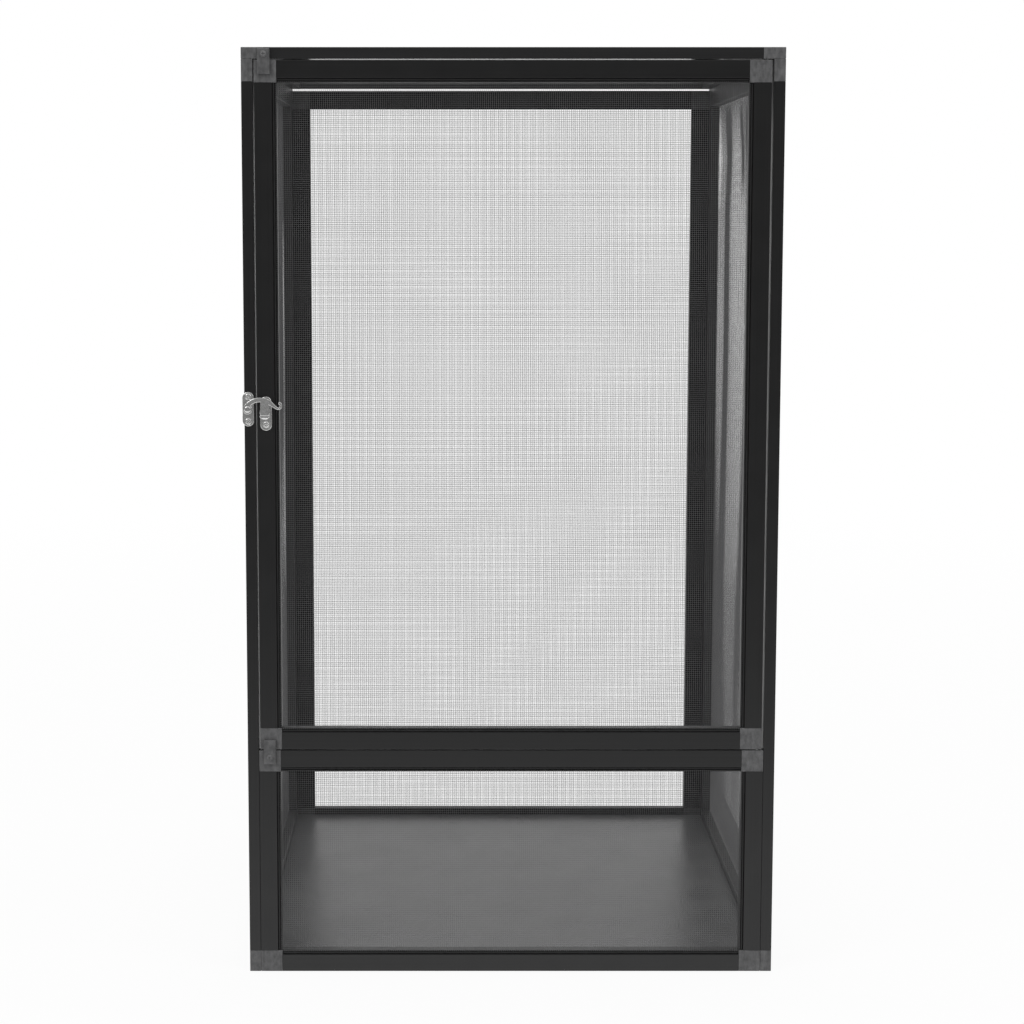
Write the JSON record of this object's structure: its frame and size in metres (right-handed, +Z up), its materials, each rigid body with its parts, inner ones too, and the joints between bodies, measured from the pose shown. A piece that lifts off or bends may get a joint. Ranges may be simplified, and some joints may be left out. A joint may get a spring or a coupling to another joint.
{
  "type": "reptile terrarium",
  "caption": "Tall black mesh cage for reptiles: aluminium frames with mesh walls and top, a solid floor, a hinged door with a swing latch and turn clips, and a fixed low front panel.",
  "frame": {"origin": "middle of the footprint, on the surface the cage stands on", "axes": "+Z up, the door faces -Y, +X to the right as seen from the front"},
  "size_m": [0.4013, 0.4042, 0.7],
  "materials": {
    "frame_black": "black anodised aluminium extrusion, satin",
    "corner_plastic": "dark grey moulded plastic, slightly mottled",
    "mesh_black": "black coated woven insect mesh",
    "cord_rubber": "black rubber cord",
    "floor_plastic": "dark grey plastic board with a fine embossed grain and a dull sheen",
    "pin_steel": "bright steel pin",
    "screw_black": "black countersunk screws",
    "nickel": "bright nickel plate",
    "clip_plastic": "dark grey moulded plastic"
  },
  "bodies": {
    "cage": {"top_front_rail": "frame_black", "top_right_rail": "frame_black", "top_back_rail": "frame_black", "top_left_rail": "frame_black", "left_bottom_rail": "frame_black", "left_front_rail": "frame_black", "left_top_rail": "frame_black", "left_back_rail": "frame_black", "right_bottom_rail": "frame_black", "right_back_rail": "frame_black", "right_top_rail": "frame_black", "right_front_rail": "frame_black", "back_bottom_rail": "frame_black", "back_left_rail": "frame_black", "back_top_rail": "frame_black", "back_right_rail": "frame_black", "lower_bottom_rail": "frame_black", "lower_right_rail": "frame_black", "lower_top_rail": "frame_black", "lower_left_rail": "frame_black", "floor_front_rail": "frame_black", "floor_left_rail": "frame_black", "floor_back_rail": "frame_black", "floor_right_rail": "frame_black", "top_corners": "corner_plastic", "left_corners": "corner_plastic", "right_corners": "corner_plastic", "back_corners": "corner_plastic", "lower_corners": "corner_plastic", "floor_corners": "corner_plastic", "top_mesh": "mesh_black", "left_mesh": "mesh_black", "right_mesh": "mesh_black", "back_mesh": "mesh_black", "lower_mesh": "mesh_black", "top_cord": "cord_rubber", "left_cord": "cord_rubber", "right_cord": "cord_rubber", "back_cord": "cord_rubber", "lower_cord": "cord_rubber", "floor_board": "floor_plastic", "assembly_screws": "screw_black", "latch_plate": "nickel", "latch_plate_screws": "nickel", "latch_rivet": "nickel", "clip_screws": "clip_plastic"},
    "door": {"door_bottom_rail": "frame_black", "door_right_rail": "frame_black", "door_top_rail": "frame_black", "door_left_rail": "frame_black", "door_corners": "corner_plastic", "door_mesh": "mesh_black", "door_cord": "cord_rubber", "hinge_pins": "pin_steel", "catch_plate": "nickel", "catch_screws": "nickel"},
    "latch_arm": {"latch_arm": "nickel"},
    "clip_top": {"clip_top": "clip_plastic"},
    "clip_middle": {"clip_middle": "clip_plastic"}
  },
  "joints": [
    {"name": "door_hinge", "type": "hinge", "parent": "cage", "child": "door", "pos_m": [0.1868, -0.1972, 0.43235], "axis": [0, 0, 1], "range_deg": [0, 105]},
    {"name": "latch_swing", "type": "hinge", "parent": "cage", "child": "latch_arm", "pos_m": [-0.1974, -0.2022, 0.4334], "axis": [0, -1, 0], "range_deg": [0, 110]},
    {"name": "clip_top_turn", "type": "hinge", "parent": "cage", "child": "clip_top", "pos_m": [-0.1832, -0.2015, 0.695], "axis": [0, 1, 0], "range_deg": [-90, 90]},
    {"name": "clip_middle_turn", "type": "hinge", "parent": "cage", "child": "clip_middle", "pos_m": [-0.1832, -0.2015, 0.1685], "axis": [0, 1, 0], "range_deg": [-90, 90]}
  ]
}
